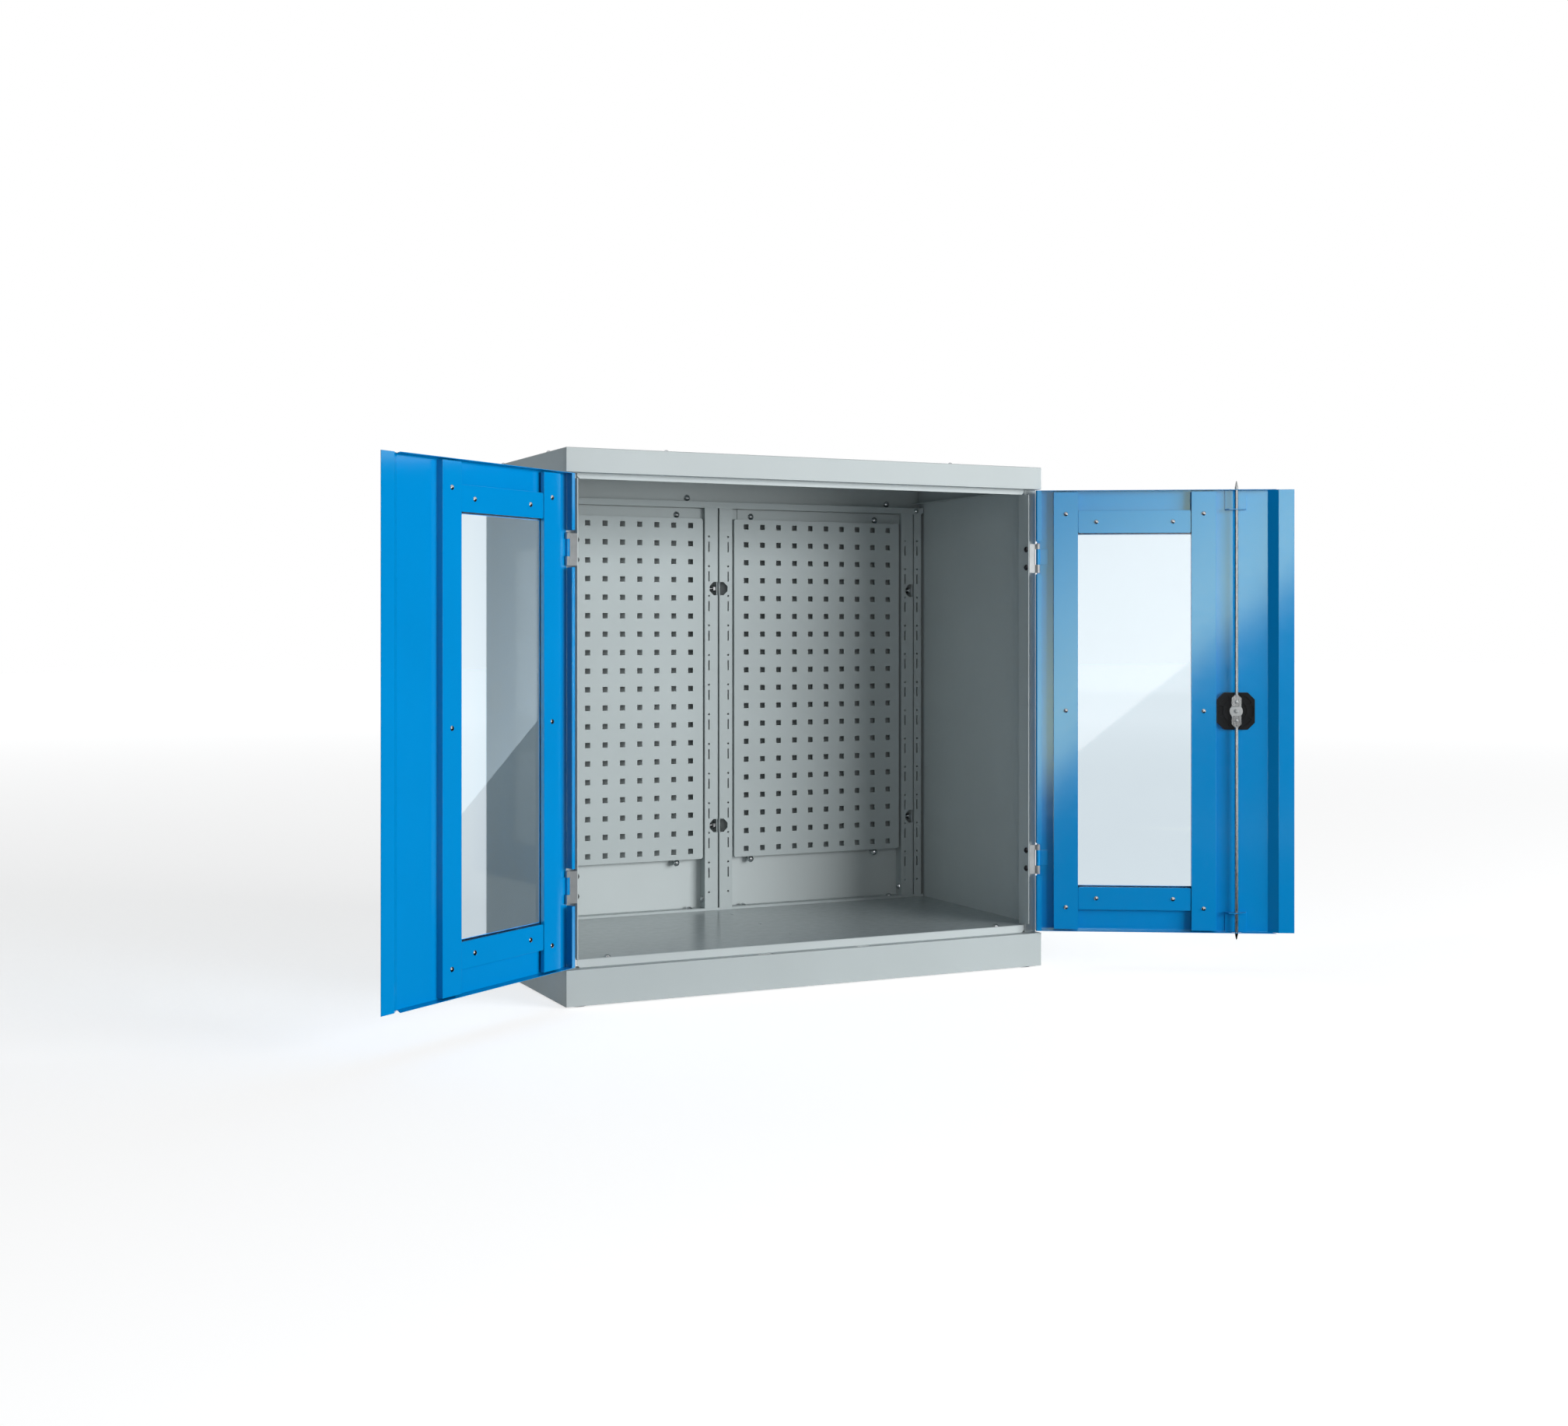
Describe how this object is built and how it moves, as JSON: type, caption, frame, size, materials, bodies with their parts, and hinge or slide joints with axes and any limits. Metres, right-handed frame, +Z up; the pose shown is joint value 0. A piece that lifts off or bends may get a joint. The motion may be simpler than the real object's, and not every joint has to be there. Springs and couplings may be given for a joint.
{
  "type": "tool cabinet",
  "caption": "Steel tool cabinet with perforated rear panels, slotted uprights and windowed doors locked by a turning handle and rods.",
  "frame": {"origin": "middle of the cabinet's footprint, on the floor under its feet", "axes": "+X to the cabinet's right as seen from the front, +Y to its back, +Z up"},
  "size_m": [1.8292, 0.7869, 1.004],
  "materials": {
    "body_grey": "light grey powder coat",
    "rack_grey": "light grey powder coat",
    "floor_grey": "grey powder coat",
    "door_blue": "blue powder coat",
    "seal_rubber": "matte",
    "glazing": "clear",
    "lock_plastic": "black, fine grain",
    "zinc_steel": "zinc plated",
    "dark_steel": "blackened",
    "foot_plastic": "matte"
  },
  "bodies": {
    "cabinet": {"top_cap": "body_grey", "top_front_rail": "body_grey", "left_side_panel": "body_grey", "right_side_panel": "body_grey", "back_panel": "body_grey", "floor_panel": "floor_grey", "floor_edges": "floor_grey", "plinth": "body_grey", "feet": "foot_plastic", "left_perforated_panel": "rack_grey", "right_perforated_panel": "rack_grey", "panel_rails": "rack_grey", "lower_rail": "rack_grey", "left_outer_upright": "rack_grey", "left_slim_upright": "rack_grey", "centre_left_upright": "rack_grey", "centre_right_upright": "rack_grey", "right_outer_upright": "rack_grey", "right_slim_upright": "rack_grey", "cross_rail": "rack_grey", "cap_screws": "zinc_steel", "floor_screws": "zinc_steel", "panel_screws": "zinc_steel", "upright_screws": "zinc_steel", "back_screws": "zinc_steel", "left_hinge_leaves": "zinc_steel", "right_hinge_leaves": "zinc_steel", "left_hinge_pins": "zinc_steel", "right_hinge_pins": "zinc_steel", "hinge_screws": "dark_steel"},
    "left_door": {"left_door_skin": "door_blue", "left_door_hinge_rail": "door_blue", "left_door_lock_rail": "door_blue", "left_door_upper_clamp": "door_blue", "left_door_lower_clamp": "door_blue", "left_door_seal": "seal_rubber", "left_door_pane": "glazing", "left_door_screws": "zinc_steel", "left_door_knuckles": "door_blue"},
    "right_door": {"right_door_skin": "door_blue", "right_door_hinge_rail": "door_blue", "right_door_lock_rail": "door_blue", "right_door_upper_clamp": "door_blue", "right_door_lower_clamp": "door_blue", "right_door_seal": "seal_rubber", "right_door_pane": "glazing", "right_door_screws": "zinc_steel", "right_door_knuckles": "door_blue", "handle_dish": "lock_plastic", "lock_housing": "lock_plastic", "upper_rod_guide": "door_blue", "lower_rod_guide": "door_blue"},
    "handle": {"handle_wing": "lock_plastic", "lock_spindle": "zinc_steel", "lock_cam": "zinc_steel", "cam_screw": "zinc_steel", "cam_rivets": "zinc_steel"},
    "key": {"key_cylinder": "zinc_steel"},
    "upper_rod": {"upper_rod": "zinc_steel"},
    "lower_rod": {"lower_rod": "zinc_steel"}
  },
  "joints": [
    {"name": "left_door_swing", "type": "hinge", "parent": "cabinet", "child": "left_door", "pos_m": [-0.495, -0.2445, 0.5], "axis": [0, 0, 1], "range_deg": [-35, 145]},
    {"name": "right_door_swing", "type": "hinge", "parent": "cabinet", "child": "right_door", "pos_m": [0.495, -0.2445, 0.5], "axis": [0, 0, 1], "range_deg": [-150, 30]},
    {"name": "handle_turn", "type": "hinge", "parent": "right_door", "child": "handle", "pos_m": [0.83362, -0.44, 0.51335], "axis": [0.5, 0.866, 0], "range_deg": [0, 90]},
    {"name": "key_turn", "type": "hinge", "parent": "handle", "child": "key", "pos_m": [0.83362, -0.44, 0.51335], "axis": [0.5, 0.866, 0], "range_deg": [0, 90]},
    {"name": "upper_rod_pivot", "type": "hinge", "parent": "handle", "child": "upper_rod", "pos_m": [0.83362, -0.44, 0.53185], "axis": [0.5, 0.866, 0], "range_deg": [-93.5, 0]},
    {"name": "lower_rod_pivot", "type": "hinge", "parent": "handle", "child": "lower_rod", "pos_m": [0.83362, -0.44, 0.49485], "axis": [0.5, 0.866, 0], "range_deg": [-93.5, 0]}
  ],
  "couplings": [
    {"joint": "upper_rod_pivot", "follows": "handle_turn", "ratio": -1.0333},
    {"joint": "lower_rod_pivot", "follows": "handle_turn", "ratio": -1.0333}
  ]
}
